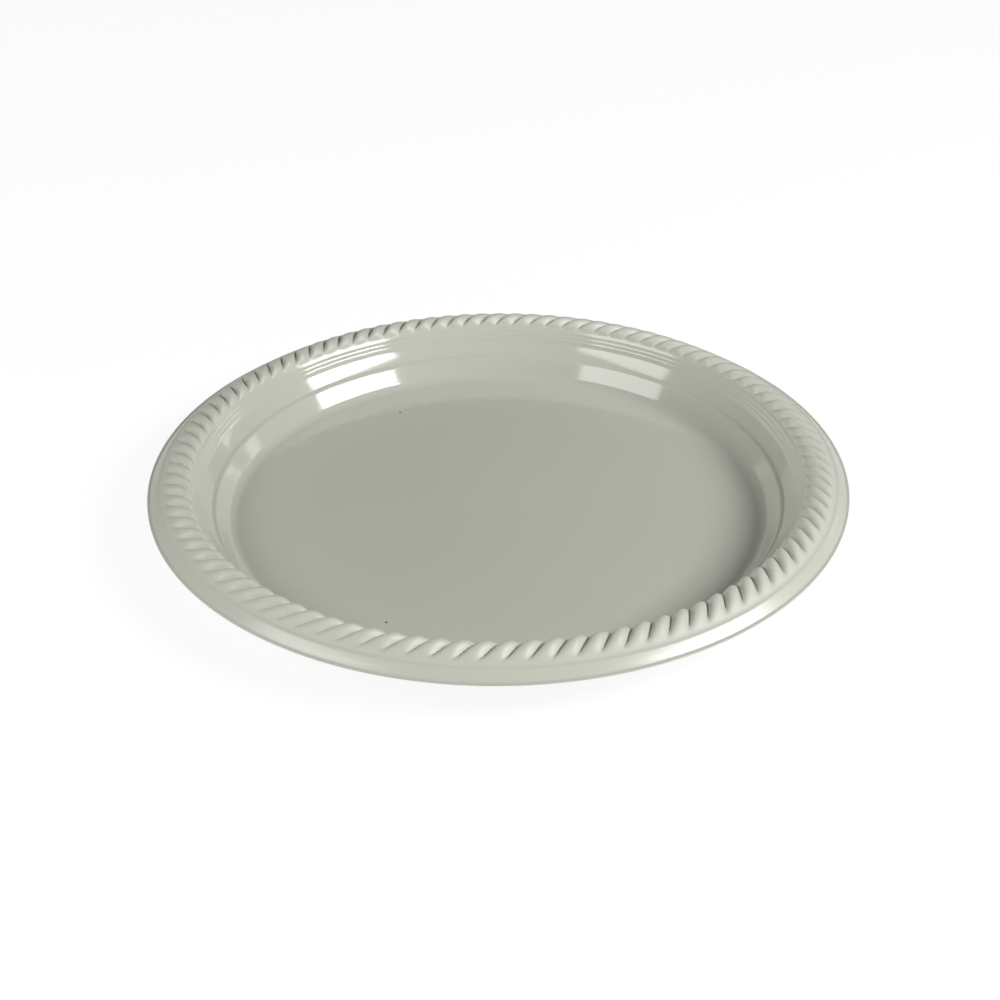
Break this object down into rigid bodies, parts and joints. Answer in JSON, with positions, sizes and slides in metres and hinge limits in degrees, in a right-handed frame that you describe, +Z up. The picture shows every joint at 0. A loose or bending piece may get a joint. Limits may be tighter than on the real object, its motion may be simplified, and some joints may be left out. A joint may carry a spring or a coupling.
{
  "type": "plastic plate",
  "caption": "Round disposable plastic plate with a flat floor, a two-step wall with fine rings, a rope-twist rim and an outer skirt.",
  "frame": {"origin": "centre of the flat base, on the surface that the plate stands on", "axes": "+Z up along the plate's axis; the plate is round, so +X and +Y are any two directions at a right angle"},
  "size_m": [0.22, 0.22, 0.0198],
  "materials": {
    "polystyrene": "glossy off-white formed sheet"
  },
  "bodies": {
    "root": {"plate": "polystyrene"}
  },
  "joints": []
}
